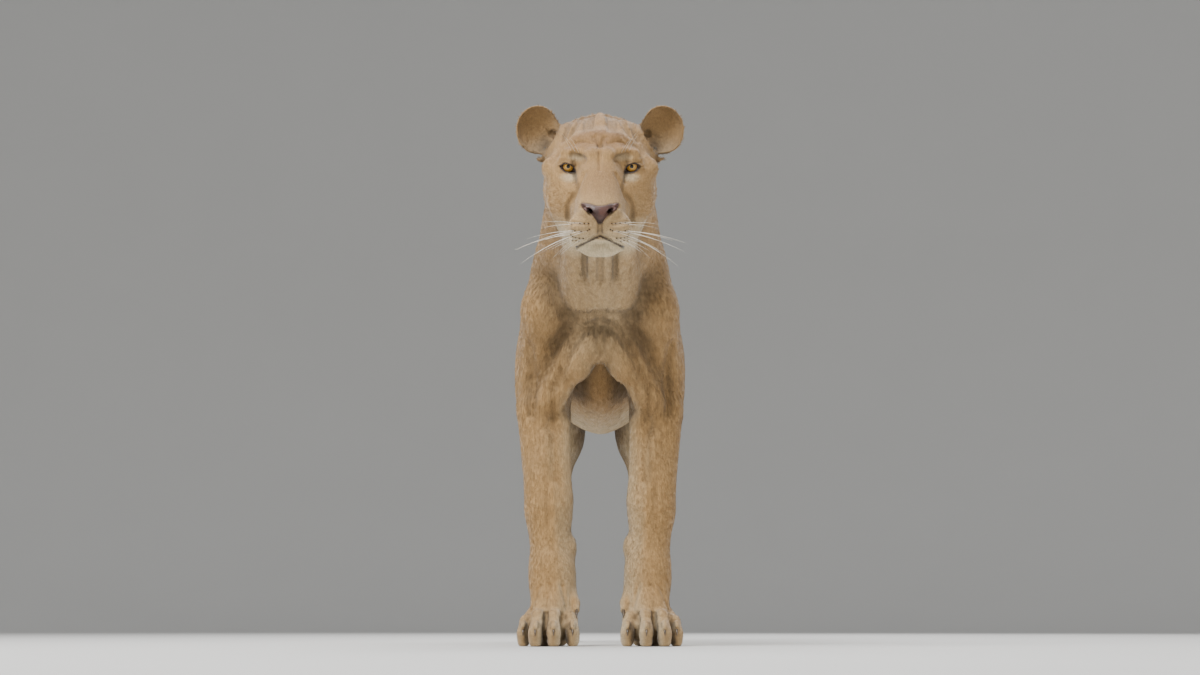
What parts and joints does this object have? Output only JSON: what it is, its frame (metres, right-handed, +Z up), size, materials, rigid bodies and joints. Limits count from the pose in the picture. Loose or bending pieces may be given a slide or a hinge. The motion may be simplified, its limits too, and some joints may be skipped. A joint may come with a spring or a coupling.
{
  "type": "standing lioness animal figure",
  "caption": "Life-size standing lioness, facing forward with the nose a little lowered and the tail hanging; a still animal figure that stands on its four paws.",
  "frame": {"origin": "on the ground under the middle of the animal's bounding box", "axes": "+Z up, the lioness faces -Y, her left side is at +X"},
  "size_m": [0.3672, 1.8296, 1.0346],
  "materials": {
    "coat": "short tawny fur lying along the body, paler below",
    "coat_pale": "short pale cream fur of the chin",
    "tuft": "long dark brown hair of the tail's tip",
    "nose": "bare damp pebbled skin, dark brown-pink",
    "eye": "wet amber eye with a round black pupil",
    "claw": "smooth horn, pale with a darker root"
  },
  "bodies": {
    "root": {"abdomen": "coat", "chest": "coat", "claw_fore_1_left": "claw", "claw_fore_1_right": "claw", "claw_fore_2_left": "claw", "claw_fore_2_right": "claw", "claw_fore_3_left": "claw", "claw_fore_3_right": "claw", "claw_fore_4_left": "claw", "claw_fore_4_right": "claw", "claw_fore_5_left": "claw", "claw_fore_5_right": "claw", "claw_hind_1_left": "claw", "claw_hind_1_right": "claw", "claw_hind_2_left": "claw", "claw_hind_2_right": "claw", "claw_hind_3_left": "claw", "claw_hind_3_right": "claw", "claw_hind_4_left": "claw", "claw_hind_4_right": "claw", "ear_left": "coat", "ear_right": "coat", "eye_left": "eye", "eye_right": "eye", "forearm_left": "coat", "forearm_right": "coat", "forepaw_left": "coat", "forepaw_right": "coat", "head": "coat", "hind_foot_left": "coat", "hind_foot_right": "coat", "hindpaw_left": "coat", "hindpaw_right": "coat", "lower_jaw": "coat_pale", "neck": "coat", "nose": "nose", "rump": "coat", "shank_left": "coat", "shank_right": "coat", "shoulder_left": "coat", "shoulder_right": "coat", "tail_base": "coat", "tail_middle": "coat", "tail_tuft": "tuft", "thigh_left": "coat", "thigh_right": "coat"}
  },
  "joints": []
}
